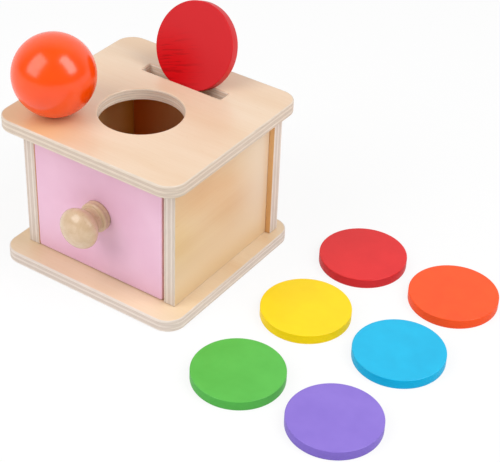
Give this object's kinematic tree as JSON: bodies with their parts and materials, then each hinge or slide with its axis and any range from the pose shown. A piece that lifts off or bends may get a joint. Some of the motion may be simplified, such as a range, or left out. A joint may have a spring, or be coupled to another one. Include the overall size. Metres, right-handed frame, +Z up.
{
  "type": "object permanence coin box",
  "caption": "Plywood toy box with a ball hole and a coin slot in its top, a sliding drawer that catches what drops through, a wooden ball and loose painted coins.",
  "frame": {"origin": "middle of the base panel's underside, on the surface that the box stands on", "axes": "+Z up, -Y out of the drawer's front, +X to the right seen from the front, towards the loose coins"},
  "size_m": [0.2756, 0.1927, 0.1522],
  "materials": {
    "birch_ply": "sanded birch plywood under a thin matt lacquer",
    "dowel": "bare birch dowel",
    "pink_paint": "satin pink paint on plywood",
    "lacquered_beech": "turned beech under clear lacquer",
    "steel": "plain steel",
    "orange_gloss": "glossy orange lacquer on a turned ball",
    "red_paint": "satin red paint",
    "orange_paint": "satin orange paint",
    "yellow_paint": "satin yellow paint",
    "green_paint": "satin green paint",
    "blue_paint": "satin blue paint",
    "purple_paint": "satin purple paint"
  },
  "bodies": {
    "box": {"base_panel": "birch_ply", "top_panel": "birch_ply", "left_side_panel": "birch_ply", "right_side_panel": "birch_ply", "back_panel": "birch_ply", "top_dowel_left_front": "dowel", "top_dowel_left_rear": "dowel", "top_dowel_right_front": "dowel", "top_dowel_right_rear": "dowel", "base_dowel_left_front": "dowel", "base_dowel_left_rear": "dowel", "base_dowel_right_front": "dowel", "base_dowel_right_rear": "dowel", "back_dowel_left_lower": "dowel", "back_dowel_left_upper": "dowel", "back_dowel_left_top": "dowel", "back_dowel_left_base": "dowel", "back_dowel_right_lower": "dowel", "back_dowel_right_upper": "dowel", "back_dowel_right_top": "dowel", "back_dowel_right_base": "dowel"},
    "drawer": {"drawer_front": "pink_paint", "drawer_left_side": "birch_ply", "drawer_right_side": "birch_ply", "drawer_back": "birch_ply", "drawer_bottom": "birch_ply", "drawer_dowel_left_lower": "dowel", "drawer_dowel_left_upper": "dowel", "drawer_dowel_right_lower": "dowel", "drawer_dowel_right_upper": "dowel", "drawer_pin_left_lower": "steel", "drawer_pin_left_upper": "steel", "drawer_pin_right_lower": "steel", "drawer_pin_right_upper": "steel", "drawer_knob": "lacquered_beech", "knob_screw": "steel"},
    "ball": {"ball": "orange_gloss"},
    "slot_coin": {"slot_coin_red": "red_paint"},
    "red_coin": {"coin_red": "red_paint"},
    "orange_coin": {"coin_orange": "orange_paint"},
    "yellow_coin": {"coin_yellow": "yellow_paint"},
    "green_coin": {"coin_green": "green_paint"},
    "blue_coin": {"coin_blue": "blue_paint"},
    "purple_coin": {"coin_purple": "purple_paint"}
  },
  "joints": [
    {"name": "drawer_slide", "type": "slide", "parent": "box", "child": "drawer", "axis": [0, -1, 0], "range_m": [0, 0.07]},
    {"name": "ball_lift", "type": "slide", "parent": "box", "child": "ball", "axis": [0, 0, 1], "range_m": [0, 0.08]},
    {"name": "slot_coin_lift", "type": "slide", "parent": "box", "child": "slot_coin", "axis": [0, 0.4067, 0.9135], "range_m": [0, 0.06]},
    {"name": "red_coin_lift", "type": "slide", "parent": "box", "child": "red_coin", "axis": [0, 0, 1], "range_m": [0, 0.12]},
    {"name": "orange_coin_lift", "type": "slide", "parent": "box", "child": "orange_coin", "axis": [0, 0, 1], "range_m": [0, 0.12]},
    {"name": "yellow_coin_lift", "type": "slide", "parent": "box", "child": "yellow_coin", "axis": [0, 0, 1], "range_m": [0, 0.12]},
    {"name": "green_coin_lift", "type": "slide", "parent": "box", "child": "green_coin", "axis": [0, 0, 1], "range_m": [0, 0.12]},
    {"name": "blue_coin_lift", "type": "slide", "parent": "box", "child": "blue_coin", "axis": [0, 0, 1], "range_m": [0, 0.12]},
    {"name": "purple_coin_lift", "type": "slide", "parent": "box", "child": "purple_coin", "axis": [0, 0, 1], "range_m": [0, 0.12]}
  ]
}
